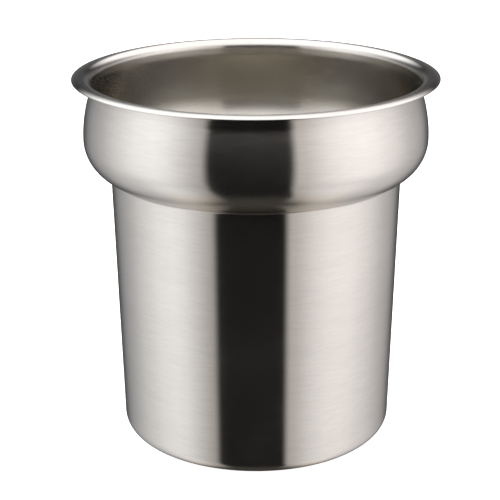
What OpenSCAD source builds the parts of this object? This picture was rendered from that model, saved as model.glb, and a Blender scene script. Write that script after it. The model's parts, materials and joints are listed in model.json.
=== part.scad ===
// Round inset for a soup well or steam table: one vessel, deep drawn from a single
// stainless steel blank. A flared rim runs down into a bulged collar. The collar's rounded
// shoulder steps in to a slightly tapered body with a flat base, and seats in a round
// opening. Millimetres, +Z up, origin at the centre of the base's underside.

/* [Overall] */
// Height from the base to the top of the rim
height = 203; // [167:1:245]
// Diameter of the round opening that the shoulder seats in
opening_d = 165; // [135:1:200]
// Thickness of the drawn sheet
wall = 0.8; // [0.6:0.1:1.2]

/* [Rim] */
// Distance that the flange stands out beyond the outside of the neck
flange_w = 9.7; // [8.6:0.1:12]
// Outside radius of the bend from the neck into the flange
flare_r = 4.1; // [3:0.1:4.9]
// Radius over which the outer part of the flange slopes down, on its upper face
edge_r = 10; // [8:0.5:12]
// Angle to which the flange's edge slopes down
edge_turn = 24; // [12:1:28]
// Height of the straight neck that a lid drops into
neck_h = 2; // [1:0.5:5]

/* [Collar] */
// Height from the shoulder's crease to the top of the rim
collar_h = 54; // [45:1:65]
// Distance that the neck is drawn in from the collar's widest line
neck_inset = 4.6; // [3.2:0.1:6.2]
// Outside radius of the bend from the collar into the neck
neck_bend_r = 7; // [4:0.5:12]
// Outside radius of the shoulder
shoulder_r = 21; // [17:0.5:26]
// Distance from the body out to the collar's widest line
shoulder_step = 14.3; // [11.5:0.1:17]
// Outside radius of the crease between the shoulder and the body
crease_r = 1.5; // [1:0.1:3]

/* [Body] */
// Clearance between the opening's edge and the body where the shoulder meets it
opening_gap = 3; // [1:0.5:5]
// Taper of the body's wall on each side, in degrees
taper = 1.4; // [0:0.05:2.5]
// Outside radius of the corner between the body and the base
base_corner_r = 7; // [4:0.5:12]

/* [Hidden] */
$fn = 180;

// Furthest that a chord may lie from the arc it stands for
chord_error = 0.01;
// Number of chords around the half round of the sheet's edge
edge_chords = 6;

// Radii of the outer skin
body_r = opening_d / 2 - opening_gap;
collar_r = body_r + shoulder_step;
neck_r = collar_r - neck_inset;
rim_r = neck_r + flange_w;

// Body: a straight wall that leans out by the taper, square to wall_normal
crease_z = height - collar_h;
wall_normal = [cos(taper), -sin(taper)];
function body_wall_r(z) = body_r - (crease_z - z) * tan(taper);

// Corner of the base, tangent to the base and to the body's wall
corner_c = [
    body_wall_r(base_corner_r) - base_corner_r / cos(taper),
    base_corner_r
];

// Shoulder: its centre is level with the collar's widest line, and its circle meets the
// body's wall at the crease
widest_z = crease_z + sqrt(shoulder_r ^ 2 - (shoulder_r - shoulder_step) ^ 2);
shoulder_c = [collar_r - shoulder_r, widest_z];

// Crease: tangent to the body's wall and to the shoulder, with its centre outside both
crease_out = (body_wall_r(widest_z) - shoulder_c[0]) * cos(taper) + crease_r;
crease_down = sqrt((shoulder_r + crease_r) ^ 2 - crease_out ^ 2);
crease_c = shoulder_c + crease_out * wall_normal
    - crease_down * [-wall_normal[1], wall_normal[0]];
crease_turn = atan2(shoulder_c[1] - crease_c[1], shoulder_c[0] - crease_c[0]);

// Rim: the flare is tangent to the neck and to the flange's underside
flare_z = height - wall - flare_r;
edge_bend_x = rim_r - wall / 2 - (edge_r - wall / 2) * sin(edge_turn);
neck_z = flare_z - neck_h;

// Upper collar: one arc from the widest line and one back into the neck make an S
upper_h = neck_z - widest_z;
upper_r = (upper_h ^ 2 + neck_inset ^ 2) / (2 * neck_inset) - neck_bend_r;
upper_turn = 2 * atan(neck_inset / upper_h);

// Each bend of the sheet is [centre, outside radius, side, start angle, end angle]. The
// side is 1 where the centre is on the sheet's inner side, and -1 where it is outside.
bends = [
    [corner_c, base_corner_r, 1, -90, -taper],
    [crease_c, crease_r, -1, 180 - taper, crease_turn],
    [shoulder_c, shoulder_r, 1, crease_turn - 180, 0],
    [[collar_r - upper_r, widest_z], upper_r, 1, 0, upper_turn],
    [[neck_r + neck_bend_r, neck_z], neck_bend_r, -1, 180 + upper_turn, 180],
    [[neck_r + flare_r, flare_z], flare_r, -1, 180, 90],
    [[edge_bend_x, height - edge_r], edge_r - wall, -1, 90, 90 - edge_turn]
];

function polar(c, r, a) = c + r * [cos(a), sin(a)];

function chords(r, turn) = max(2, ceil(abs(turn) / (2 * acos(1 - chord_error / r))));

function arc(c, r, from, to) =
    let (n = chords(r, to - from))
    [for (i = [0:n]) polar(c, r, from + (to - from) * i / n)];

// One skin of the sheet from the base to the edge, at a depth in from the outside
function skin(depth) = [
    for (b = bends) each arc(b[0], b[1] - b[2] * depth, b[3], b[4])
];

// The sheet's cut edge is rounded over, half its thickness in radius
edge_b = bends[len(bends) - 1];
edge_c = polar(edge_b[0], edge_b[1] + wall / 2, edge_b[4]);
function edge_round() = [
    for (i = [1:edge_chords - 1])
        polar(edge_c, wall / 2, edge_b[4] - 180 + 180 * i / edge_chords)
];

function reversed(list) = [for (i = [len(list) - 1:-1:0]) list[i]];

module inset_pot() {
    color("silver")
        rotate_extrude()
            polygon(concat(
                [[0, 0]],
                skin(0),
                edge_round(),
                reversed(skin(wall)),
                [[0, wall]]
            ));
}

inset_pot();
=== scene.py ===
"""Looks for a drawn stainless steel soup kettle inset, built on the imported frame.

The pot is one lathed sheet. Its skins follow the same bends as the design, in metres, with
many more rings, and it takes its height, rim and neck from the frame.
"""

import json
from math import atan, atan2, ceil, cos, pi, radians, sin, sqrt, tan

import bmesh
import bpy
from mathutils import Matrix, Vector, noise


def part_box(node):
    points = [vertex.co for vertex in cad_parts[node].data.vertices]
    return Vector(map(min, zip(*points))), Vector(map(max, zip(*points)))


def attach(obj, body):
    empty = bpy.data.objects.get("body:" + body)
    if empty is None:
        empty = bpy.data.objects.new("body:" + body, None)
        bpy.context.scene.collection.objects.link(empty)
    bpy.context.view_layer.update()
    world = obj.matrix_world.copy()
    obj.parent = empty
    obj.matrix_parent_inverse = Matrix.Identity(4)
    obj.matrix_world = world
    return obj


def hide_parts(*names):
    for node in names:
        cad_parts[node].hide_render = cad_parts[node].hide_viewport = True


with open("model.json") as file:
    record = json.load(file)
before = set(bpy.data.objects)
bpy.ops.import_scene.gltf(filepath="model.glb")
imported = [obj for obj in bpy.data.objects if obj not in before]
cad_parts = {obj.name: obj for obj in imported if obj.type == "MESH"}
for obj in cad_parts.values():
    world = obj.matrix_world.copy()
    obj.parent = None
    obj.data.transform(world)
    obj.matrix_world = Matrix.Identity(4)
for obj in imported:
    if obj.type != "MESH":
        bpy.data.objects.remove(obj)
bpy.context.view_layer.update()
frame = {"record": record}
MM = 0.001

# The pot's driving sizes. What the frame can give is read from it.
MOUNTS = {mount["name"]: mount for mount in frame["record"]["mounts"]}
_, POT_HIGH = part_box("inset_pot")
HEIGHT = POT_HIGH.z
RIM_R = POT_HIGH.x
WALL = 0.8 * MM
NECK_R = MOUNTS["neck"]["dims"]["r_mm"] * MM + WALL
NECK_H = MOUNTS["neck"]["dims"]["length_mm"] * MM
OPENING_R = MOUNTS["shoulder_seat"]["dims"]["r_mm"] * MM
OPENING_GAP = 3 * MM
COLLAR_H = 54 * MM
FLARE_R = 4.1 * MM
EDGE_R = 10 * MM
EDGE_TURN = radians(24)
NECK_BEND_R = 7 * MM
SHOULDER_R = 21 * MM
SHOULDER_STEP = 14.3 * MM
CREASE_R = 1.5 * MM
TAPER = radians(1.4)
BASE_CORNER_R = 7 * MM

# How finely the sheet is turned on the lathe. Points nearer than TOUCHING are one point.
SEGMENTS = 288
LONGEST_RING_STEP = 3.2 * MM
BEND_STEP = radians(5)
WIDE_BEND_STEP = 1.3 * MM
FEWEST_BEND_STEPS = 3
EDGE_STEPS = 8
TOUCHING = 0.0001 * MM

# How far the pressed sheet strays from true. The wave in it grows from nothing at the base,
# and gives way below the crest to the rim's own wave.
SHEET_WAVE = 0.05 * MM
SHEET_WAVE_LENGTH = 45 * MM
WAVE_GROWS_OVER = 12 * MM
RIM_WAVE = 0.12 * MM
RIM_WAVES = 1.6
RIM_WAVE_FROM = 8 * MM
RIM_WAVE_GROWS_OVER = 6 * MM
RIM_WAVE_SEED = (7.3, 1.9, 4.2)

# On the inner skin, the rim's finish ends this far below the crest, and gives way to the
# duller one over the second distance.
# The inside's colour there is also made darker and warmer, as painted shade inside the pot
FINISH_AND_SHADE_BELOW = 1.5 * MM
FINISH_AND_SHADE_FADE = 5 * MM

# The camera: its distance and height in radii of the rim, its lens and sensor in millimetres
CAMERA_DISTANCE = 7.526
CAMERA_HEIGHT = 3.717
CAMERA_DOWN = radians(19.68)
CAMERA_LEFT = radians(0.263)
CAMERA_ROLL = radians(-0.2)
CAMERA_LENS = 101.2
CAMERA_SENSOR = 36
CAMERA_NEAR = 10 * MM


# ---------------------------------------------------------------- shape of the sheet


def polar(centre, radius, angle):
    return centre[0] + radius * cos(angle), centre[1] + radius * sin(angle)


def bends():
    """Each bend of the sheet from the base to the rim's edge, as (centre, outside radius,
    side, start, end). The side is 1 where the centre is on the sheet's inner side."""
    body_r = OPENING_R - OPENING_GAP
    collar_r = body_r + SHOULDER_STEP
    neck_inset = collar_r - NECK_R
    crease_z = HEIGHT - COLLAR_H
    corner_r = body_r - (crease_z - BASE_CORNER_R) * tan(TAPER) - BASE_CORNER_R / cos(TAPER)

    rise = sqrt(SHOULDER_R**2 - (SHOULDER_R - SHOULDER_STEP) ** 2)
    widest_z = crease_z + rise
    shoulder = (collar_r - SHOULDER_R, widest_z)
    normal = (cos(TAPER), -sin(TAPER))
    out = (body_r + rise * tan(TAPER) - shoulder[0]) * cos(TAPER) + CREASE_R
    down = sqrt((SHOULDER_R + CREASE_R) ** 2 - out**2)
    crease = (
        shoulder[0] + out * normal[0] + down * normal[1],
        shoulder[1] + out * normal[1] - down * normal[0],
    )
    crease_turn = atan2(shoulder[1] - crease[1], shoulder[0] - crease[0])

    flare_z = HEIGHT - WALL - FLARE_R
    neck_z = flare_z - NECK_H
    upper_h = neck_z - widest_z
    upper_r = (upper_h**2 + neck_inset**2) / (2 * neck_inset) - NECK_BEND_R
    upper_turn = 2 * atan(neck_inset / upper_h)
    edge_x = RIM_R - WALL / 2 - (EDGE_R - WALL / 2) * sin(EDGE_TURN)
    quarter = pi / 2
    return [
        ((corner_r, BASE_CORNER_R), BASE_CORNER_R, 1, -quarter, -TAPER),
        (crease, CREASE_R, -1, pi - TAPER, crease_turn),
        (shoulder, SHOULDER_R, 1, crease_turn - pi, 0),
        ((collar_r - upper_r, widest_z), upper_r, 1, 0, upper_turn),
        ((NECK_R + NECK_BEND_R, neck_z), NECK_BEND_R, -1, pi + upper_turn, pi),
        ((NECK_R + FLARE_R, flare_z), FLARE_R, -1, pi, quarter),
        ((edge_x, HEIGHT - EDGE_R), EDGE_R - WALL, -1, quarter, quarter - EDGE_TURN),
    ]


def arc(centre, radius, start, end, bend_r):
    """Points along one bend. bend_r sets the step, so both skins get the same number."""
    turn = abs(end - start)
    steps = max(
        FEWEST_BEND_STEPS, ceil(turn / BEND_STEP), ceil(turn * bend_r / WIDE_BEND_STEP)
    )
    return [polar(centre, radius, start + (end - start) * i / steps) for i in range(steps + 1)]


def between(a, b):
    """The points strictly between a and b, no further apart than the longest ring step."""
    length = sqrt((b[0] - a[0]) ** 2 + (b[1] - a[1]) ** 2)
    steps = ceil(length / LONGEST_RING_STEP)
    return [tuple(p + (q - p) * i / steps for p, q in zip(a, b)) for i in range(1, steps)]


def skin(depth):
    """One skin of the sheet as (radius, height) from the base's centre to the rim's edge."""
    points = [(0.0, depth)]
    for centre, radius, side, start, end in bends():
        run = arc(centre, radius - side * depth, start, end, radius)
        gap = sqrt((run[0][0] - points[-1][0]) ** 2 + (run[0][1] - points[-1][1]) ** 2)
        if gap > TOUCHING:
            points += between(points[-1], run[0])
            points.append(run[0])
        points += run[1:]
    return points


def edge_round():
    """The cut edge, rounded over from the outer skin to the inner one."""
    centre, radius, _, _, end = bends()[-1]
    middle = polar(centre, radius + WALL / 2, end)
    turns = [end - pi + pi * i / EDGE_STEPS for i in range(1, EDGE_STEPS)]
    return [polar(middle, WALL / 2, turn) for turn in turns]


def stray(angle, radius, height):
    """How far, as (radius, height), a point of the sheet lies off its true place: only ever
    in and down, so the pot never outgrows its design."""
    around = Vector((cos(angle), sin(angle), 0))
    place = around * radius + Vector((0, 0, height))
    wave = noise.noise(place / SHEET_WAVE_LENGTH)
    settled = min(1.0, height / WAVE_GROWS_OVER)
    risen = height - (HEIGHT - RIM_WAVE_FROM)
    near_rim = min(1.0, max(0.0, risen / RIM_WAVE_GROWS_OVER))
    ripple = noise.noise(around * RIM_WAVES + Vector(RIM_WAVE_SEED))
    inward = SHEET_WAVE * (0.5 + 0.5 * wave) * settled * (1 - near_rim)
    drop = RIM_WAVE * (0.5 + 0.5 * ripple) * near_rim
    return inward, drop


def inside_share(step, turn_over, height):
    """How much of the inside's duller finish and painted shade a ring takes: all of it up the
    inner skin, and none from the crest of the rim outwards."""
    if step < turn_over:
        return 0.0
    return min(1.0, max(0.0, (HEIGHT - FINISH_AND_SHADE_BELOW - height) / FINISH_AND_SHADE_FADE))


def lathe(name, outline, turn_over):
    """A closed mesh of revolution from an outline that starts and ends on the axis. From
    the turn_over point on, the outline runs along the inner skin."""
    mesh = bmesh.new()
    inside = mesh.verts.layers.float.new("inside")
    rings = []
    for step, (radius, height) in enumerate(outline):
        share = inside_share(step, turn_over, height)
        if radius == 0:
            centre = mesh.verts.new((0, 0, height))
            centre[inside] = share
            rings.append([centre])
            continue
        ring = []
        for i in range(SEGMENTS):
            angle = 2 * pi * i / SEGMENTS
            inward, drop = stray(angle, radius, height)
            r = radius - inward
            point = mesh.verts.new((r * cos(angle), r * sin(angle), height - drop))
            point[inside] = share
            ring.append(point)
        rings.append(ring)
    for low, high in zip(rings, rings[1:]):
        for i in range(SEGMENTS):
            j = (i + 1) % SEGMENTS
            if len(low) == 1:
                mesh.faces.new((low[0], high[j], high[i]))
            elif len(high) == 1:
                mesh.faces.new((low[i], low[j], high[0]))
            else:
                mesh.faces.new((low[i], low[j], high[j], high[i]))
    for face in mesh.faces:
        face.smooth = True
    bmesh.ops.recalc_face_normals(mesh, faces=mesh.faces)
    data = bpy.data.meshes.new(name)
    mesh.to_mesh(data)
    mesh.free()
    piece = bpy.data.objects.new(name, data)
    bpy.context.scene.collection.objects.link(piece)
    return piece


# ---------------------------------------------------------------- materials


class Nodes:
    """Short ways to add and link the nodes of one tree."""

    def __init__(self, tree):
        self.tree = tree
        tree.nodes.clear()

    def add(self, kind, inputs=None, **settings):
        node = self.tree.nodes.new(kind)
        for key, value in settings.items():
            setattr(node, key, value)
        for key, value in (inputs or {}).items():
            if isinstance(value, bpy.types.NodeSocket):
                self.tree.links.new(value, node.inputs[key])
            else:
                node.inputs[key].default_value = value
        return node

    def maths(self, operation, *values):
        node = self.add("ShaderNodeMath", dict(enumerate(values)), operation=operation)
        return node.outputs[0]

    def mix_colours(self, factor, a, b, how="MIX"):
        inputs = {"Factor": factor, "A": a, "B": b}
        node = self.add("ShaderNodeMix", inputs, data_type="RGBA", blend_type=how)
        return node.outputs["Result"]

    def remap(self, value, from_low, from_high, to_low=0.0, to_high=1.0, how="LINEAR"):
        inputs = dict(enumerate((value, from_low, from_high, to_low, to_high)))
        node = self.add("ShaderNodeMapRange", inputs, interpolation_type=how, clamp=True)
        return node.outputs[0]


# The brushed grain, as (cycles a radian round the pot, cycles a metre along the sheet,
# octaves)
FINE_GRAIN = (9.0, 1500.0, 3.0)
COARSE_GRAIN = (4.5, 320.0, 3.0)
GRAIN_BANDS = (0.6, 45.0, 2.0)
GRAIN_SOFTNESS = 0.6
FINE_SHARE = 0.75
GRAIN_DEPTH = 0.01 * MM

# How far the anisotropy is turned from a tangent that runs round the pot, in turns
GRAIN_TURN = 0.25

# The steel's roughness and colours. A span is the part of a noise that is used.
GRAIN_SPAN = (0.3, 0.7)
GRAIN_ROUGHNESS = (0.155, 0.185)
SMUDGES = {"Scale": 22.0, "Detail": 4.0, "Roughness": 0.55, "Distortion": 0.6}
SMUDGE_SPAN = (0.35, 0.7)
SMUDGE_ROUGHNESS = (-0.01, 0.02)
TONE_SPAN = (0.35, 0.65)
TONE_LINES_SHARE = 0.6
STEEL_DEEP = (0.59, 0.556, 0.512, 1)
STEEL_BRIGHT = (0.65, 0.614, 0.567, 1)

# How much rougher the duller inside is, what its colour is multiplied by (a darker, warmer
# painted shade inside the pot), and the strength of the bump outside and inside
INSIDE_ROUGHER = 0.075
INSIDE_TONE_AND_SHADE = (0.865, 0.866, 0.825, 1)
BUMP_OUTSIDE = 0.08
BUMP_INSIDE = 0.02


def grain(n, kind):
    """Noise drawn out round the pot, so that it looks brushed on a lathe."""
    around, across, detail = kind
    place = n.add("ShaderNodeTexCoord").outputs["Object"]
    x, y, z = n.add("ShaderNodeSeparateXYZ", {0: place}).outputs
    radius = n.maths("SQRT", n.maths("MULTIPLY_ADD", x, x, n.maths("MULTIPLY", y, y)))
    safe = n.maths("MAXIMUM", radius, MM)
    vector = n.add("ShaderNodeCombineXYZ", {
        0: n.maths("MULTIPLY", n.maths("DIVIDE", x, safe), around),
        1: n.maths("MULTIPLY", n.maths("DIVIDE", y, safe), around),
        2: n.maths("MULTIPLY", n.maths("ADD", z, radius), across),
    }).outputs[0]
    node = n.add("ShaderNodeTexNoise", {
        "Vector": vector, "Scale": 1.0, "Detail": detail, "Roughness": GRAIN_SOFTNESS,
    })
    return node.outputs["Fac"]


def smudges(n):
    """The faint cloudiness that handling leaves."""
    place = n.add("ShaderNodeTexCoord").outputs["Object"]
    return n.add("ShaderNodeTexNoise", {"Vector": place, **SMUDGES}).outputs["Fac"]


def brushed_steel():
    """Satin stainless steel, brushed round and round: the grain runs along the circles of
    the pot, so highlights stretch up and down it. The inside is duller, and its colour is
    multiplied darker and warmer as painted shade."""
    material = bpy.data.materials.new("brushed_stainless")
    material.use_nodes = True
    n = Nodes(material.node_tree)
    inside = n.add("ShaderNodeAttribute", attribute_name="inside").outputs["Fac"]
    lines = n.maths("MULTIPLY_ADD", grain(n, FINE_GRAIN), FINE_SHARE,
                    n.maths("MULTIPLY", grain(n, COARSE_GRAIN), 1 - FINE_SHARE))

    rough = n.maths("ADD", n.remap(lines, *GRAIN_SPAN, *GRAIN_ROUGHNESS),
                    n.remap(smudges(n), *SMUDGE_SPAN, *SMUDGE_ROUGHNESS))
    rough = n.maths("MULTIPLY_ADD", inside, INSIDE_ROUGHER, rough)

    tone = n.maths("MULTIPLY_ADD", lines, TONE_LINES_SHARE,
                   n.maths("MULTIPLY", grain(n, GRAIN_BANDS), 1 - TONE_LINES_SHARE))
    steel = n.mix_colours(n.remap(tone, *TONE_SPAN), STEEL_DEEP, STEEL_BRIGHT)
    # Painted shade: the inside's colour is multiplied darker and warmer
    duller_and_shaded = n.mix_colours(inside, steel, INSIDE_TONE_AND_SHADE, "MULTIPLY")
    bump = n.add("ShaderNodeBump", {
        "Strength": n.remap(inside, 0.0, 1.0, BUMP_OUTSIDE, BUMP_INSIDE),
        "Distance": GRAIN_DEPTH,
        "Height": lines,
    })
    tangent = n.add("ShaderNodeTangent", direction_type="RADIAL", axis="Z")
    shader = n.add("ShaderNodeBsdfPrincipled", {
        "Base Color": duller_and_shaded,
        "Metallic": 1.0,
        "Roughness": rough,
        "Anisotropic": 1.0,
        "Anisotropic Rotation": GRAIN_TURN,
        "Normal": bump.outputs[0],
        "Tangent": tangent.outputs[0],
    })
    n.add("ShaderNodeOutputMaterial", {"Surface": shader.outputs[0]})
    return material


# The table's mottle, and how much it glows so that it stays white
MOTTLE = {"Scale": 6.0, "Detail": 3.0}
TABLE_DULL = (0.88, 0.88, 0.88, 1)
TABLE_WHITE = (0.92, 0.92, 0.92, 1)
TABLE_ROUGHNESS = 0.8
TABLE_GLOW = 0.8


def pale_table():
    """A lit white table, with a faint mottle so that it isn't one flat tone."""
    material = bpy.data.materials.new("pale_table")
    material.use_nodes = True
    n = Nodes(material.node_tree)
    place = n.add("ShaderNodeTexCoord").outputs["Object"]
    mottle = n.add("ShaderNodeTexNoise", {"Vector": place, **MOTTLE})
    shader = n.add("ShaderNodeBsdfPrincipled", {
        "Base Color": n.mix_colours(mottle.outputs["Fac"], TABLE_DULL, TABLE_WHITE),
        "Roughness": TABLE_ROUGHNESS,
        "Emission Color": (1, 1, 1, 1),
        "Emission Strength": TABLE_GLOW,
    })
    n.add("ShaderNodeOutputMaterial", {"Surface": shader.outputs[0]})
    return material


# ---------------------------------------------------------------- studio


# Half the width of the table
TABLE_HALF = 4.0


def floor():
    """A wide pale table. The steel mirrors the studio's own tone for a table instead."""
    mesh = bmesh.new()
    signs = ((-1, -1), (1, -1), (1, 1), (-1, 1))
    mesh.faces.new([mesh.verts.new((x * TABLE_HALF, y * TABLE_HALF, 0)) for x, y in signs])
    data = bpy.data.meshes.new("table")
    mesh.to_mesh(data)
    mesh.free()
    table = bpy.data.objects.new("table", data)
    bpy.context.scene.collection.objects.link(table)
    data.materials.append(pale_table())
    table.visible_glossy = False


# The studio's sky is given in degrees. The bearing is 0 in front of the pot, positive to the
# right and negative to the left, and the climb is 0 at the horizon and positive above it. A
# pair of angles says where a change starts and ends. Apart from the gap's and the seam's, each
# bearing stands for both sides.

# Radiance of each side light by bearing, and the seam in front where one takes over
LEFT_LIGHT = (
    (26, 0.30), (33, 0.44), (39, 0.57), (47, 0.76), (60, 1.06), (70, 1.16), (85, 1.09),
    (102, 0.84), (118, 0.57), (135, 0.38), (151, 0.18), (165, 0.14), (180, 0.15),
)
RIGHT_LIGHT = (
    (22, 0.56), (32, 0.66), (38, 0.78), (47, 0.98), (60, 1.15), (73, 1.20), (85, 1.15),
    (102, 0.93), (118, 0.66), (135, 0.46), (151, 0.20), (165, 0.15), (180, 0.15),
)
LEFT_TINT = (1.0, 1.02, 1.06, 1)
RIGHT_TINT = (1.0, 0.99, 1.02, 1)
SIDE_LEVEL = 1.235
SEAM = (-1, 1)

# The side lights grow stronger with the climb, and have a foot and a top edge. The top edge
# is lower towards the back.
FADE_CLIMB = (-60, 10)
FADE_SHARE = (0.80, 1.06)
FOOT_CLIMB = (-80, -62)
TOP_BEARING = (60, 130)
TOP_CLIMB = (50, 12)
TOP_SOFT = (-14, 14)

# Low down they are weaker towards the front
THIN_CLIMB = (-62, -45)
THIN_BEARING = (30, 95)
THIN_SHARE = (0.42, 1.04)

# A dimmer band round the front and sides, a brighter part low down at the back, and a dim
# space straight behind, below eye level
BAND_CLIMB = -34
BAND_HALF = (0, 13)
BAND_BEARING = (95, 125)
BAND_SHARE = 0.82
BRIGHT_CLIMB = (-44, -27)
BRIGHT_BEARING = (103, 135)
BRIGHT_SHARE = 1.35
BEHIND_CLIMB = (-14, -2)
BEHIND_BEARING = (142, 165)
BEHIND_SHARE = 0.35

# The dark gap in front moves and widens towards the floor. GAP_EDGE is its soft edge,
# measured from its middle.
GAP_CLIMB = (-62, -40)
GAP_BEARING = (1, -4)
WIDER_CLIMB = (-65, -30)
WIDER_BY = (7, 0)
GAP_EDGE = (25, 32)
DARK = 0.012

# The ceiling light leans back
CEILING = 1.8
CEILING_LEAN = radians(8)
CEILING_EDGE = (48, 66)

# What the steel sees of the table, and the warm tint of that and of the light by the gap.
# WARM_BEARING is measured from the gap's middle.
TABLE = 0.07
TABLE_CLIMB = (-68, -50)
WARM_TINT = (1.0, 0.95, 0.87, 1)
WARM_SHARE = 0.5
WARM_BEARING = (28.5, 50.5)
WARM_CLIMB = (0, 51.57)

# What the camera sees behind the pot
BACKGROUND = 1.0


class Sky(Nodes):
    """The nodes of the studio's sky, with the angles of the direction that is looked in.
    turned is the bearing without its sign."""

    def __init__(self, tree):
        super().__init__(tree)
        way = self.add("ShaderNodeTexCoord").outputs["Generated"]
        x, self.y, self.z = self.add("ShaderNodeSeparateXYZ", {0: way}).outputs
        self.bearing = self.maths("ARCTAN2", x, self.maths("MULTIPLY", self.y, -1.0))
        self.turned = self.maths("ABSOLUTE", self.bearing)
        self.climb = self.maths("ARCSINE", self.z)

    def rise(self, angle, ends):
        """From 0 to 1 as an angle goes from the first end to the second."""
        return self.remap(angle, *map(radians, ends), how="SMOOTHSTEP")

    def fall(self, angle, ends):
        return self.maths("SUBTRACT", 1.0, self.rise(angle, ends))

    def slope(self, angle, ends, values):
        return self.remap(angle, *map(radians, ends), *values)

    def scaled(self, light, share, amount):
        """The light times the share, as far as the amount says."""
        return self.maths("MULTIPLY", light, self.remap(amount, 0.0, 1.0, 1.0, share))

    def ramp(self, stops_by_bearing):
        node = self.add("ShaderNodeValToRGB", {"Fac": self.maths("DIVIDE", self.turned, pi)})
        stops = node.color_ramp.elements
        while len(stops) < len(stops_by_bearing):
            stops.new(0.5)
        for stop, (angle, level) in zip(stops, stops_by_bearing):
            stop.position = angle / 180
            stop.color = (level, level, level, 1)
        return node.outputs[0]


def side_lights(sky, right):
    """Two tall soft lights, one on each side, that meet behind the pot."""
    inputs = {"Factor": right, "A": sky.ramp(LEFT_LIGHT), "B": sky.ramp(RIGHT_LIGHT)}
    level = sky.add("ShaderNodeMix", inputs).outputs["Result"]
    fade = sky.slope(sky.climb, FADE_CLIMB, FADE_SHARE)
    light = sky.maths("MULTIPLY", level, sky.maths("MULTIPLY", fade, SIDE_LEVEL))

    top = sky.slope(sky.turned, TOP_BEARING, map(radians, TOP_CLIMB))
    below_top = sky.fall(sky.maths("SUBTRACT", sky.climb, top), TOP_SOFT)
    foot = sky.rise(sky.climb, FOOT_CLIMB)
    light = sky.maths("MULTIPLY", light, sky.maths("MULTIPLY", foot, below_top))

    low = sky.maths("SUBTRACT", 1.0, sky.slope(sky.climb, THIN_CLIMB, (0.0, 1.0)))
    return sky.scaled(light, sky.slope(sky.turned, THIN_BEARING, THIN_SHARE), low)


def shaded(sky, light):
    """The side lights with their dimmer and brighter bands."""
    off = sky.maths("ABSOLUTE", sky.maths("SUBTRACT", sky.climb, radians(BAND_CLIMB)))
    band = sky.maths("MULTIPLY", sky.fall(off, BAND_HALF), sky.fall(sky.turned, BAND_BEARING))
    bright = sky.maths("MULTIPLY", sky.rise(sky.turned, BRIGHT_BEARING),
                       sky.fall(sky.climb, BRIGHT_CLIMB))
    behind = sky.maths("MULTIPLY", sky.rise(sky.turned, BEHIND_BEARING),
                       sky.fall(sky.climb, BEHIND_CLIMB))
    light = sky.scaled(light, BAND_SHARE, band)
    light = sky.scaled(light, BRIGHT_SHARE, bright)
    return sky.scaled(light, BEHIND_SHARE, behind)


def from_gap(sky):
    """The angle from the middle of the dark gap in front, less what it widens by."""
    middle = sky.slope(sky.climb, GAP_CLIMB, map(radians, GAP_BEARING))
    aside = sky.maths("ABSOLUTE", sky.maths("SUBTRACT", sky.bearing, middle))
    wider = sky.slope(sky.climb, WIDER_CLIMB, map(radians, WIDER_BY))
    return sky.maths("SUBTRACT", aside, wider)


def ceiling_light(sky):
    """A wide light above the pot, with a soft round edge."""
    toward = sky.maths("ADD", sky.maths("MULTIPLY", sky.y, sin(CEILING_LEAN)),
                       sky.maths("MULTIPLY", sky.z, cos(CEILING_LEAN)))
    off_axis = sky.maths("ARCCOSINE", toward)
    return sky.maths("MULTIPLY", sky.fall(off_axis, CEILING_EDGE), CEILING)


def studio():
    """Soft light from all round the pot: two tall side lights that leave a dark gap round
    the camera and fade towards the back, and a wide ceiling light that leans back."""
    world = bpy.data.worlds.new("studio")
    bpy.context.scene.world = world
    world.use_nodes = True
    sky = Sky(world.node_tree)
    right = sky.rise(sky.bearing, SEAM)
    past_gap = from_gap(sky)
    sides = shaded(sky, side_lights(sky, right))
    sides = sky.maths("MULTIPLY", sides, sky.rise(past_gap, GAP_EDGE))
    floor_share = sky.fall(sky.climb, TABLE_CLIMB)
    table = sky.maths("MULTIPLY_ADD", floor_share, TABLE - DARK, DARK)
    light = sky.maths("MAXIMUM", sky.maths("MAXIMUM", sides, ceiling_light(sky)), table)

    near_gap = sky.maths("MULTIPLY", sky.fall(past_gap, WARM_BEARING), WARM_SHARE)
    warmth = sky.maths("MAXIMUM", floor_share,
                       sky.maths("MULTIPLY", near_gap, sky.fall(sky.climb, WARM_CLIMB)))
    tint = sky.mix_colours(right, LEFT_TINT, RIGHT_TINT)
    tint = sky.mix_colours(warmth, tint, WARM_TINT)
    lit = sky.add("ShaderNodeBackground", {"Color": tint, "Strength": light})
    plain = sky.add("ShaderNodeBackground", {"Color": (1, 1, 1, 1), "Strength": BACKGROUND})
    seen = sky.add("ShaderNodeLightPath").outputs["Is Camera Ray"]
    shade = sky.add("ShaderNodeMixShader", {0: seen, 1: lit.outputs[0], 2: plain.outputs[0]})
    sky.add("ShaderNodeOutputWorld", {"Surface": shade.outputs[0]})
    bpy.context.scene.view_settings.view_transform = "Standard"


def camera():
    data = bpy.data.cameras.new("camera")
    data.lens = CAMERA_LENS
    data.sensor_width = CAMERA_SENSOR
    data.clip_start = CAMERA_NEAR
    view = bpy.data.objects.new("camera", data)
    bpy.context.scene.collection.objects.link(view)
    place = Vector((0, -CAMERA_DISTANCE, CAMERA_HEIGHT)) * RIM_R
    turn = Matrix.Rotation(CAMERA_LEFT, 4, "Z") @ Matrix.Rotation(pi / 2 - CAMERA_DOWN, 4, "X")
    view.matrix_world = Matrix.Translation(place) @ turn @ Matrix.Rotation(CAMERA_ROLL, 4, "Z")
    bpy.context.scene.camera = view


camera()
studio()
floor()

outer_skin = skin(0) + edge_round()
pot = lathe("drawn_pot", outer_skin + skin(WALL)[::-1], len(outer_skin))
pot.data.materials.append(brushed_steel())
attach(pot, "root")
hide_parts("inset_pot")
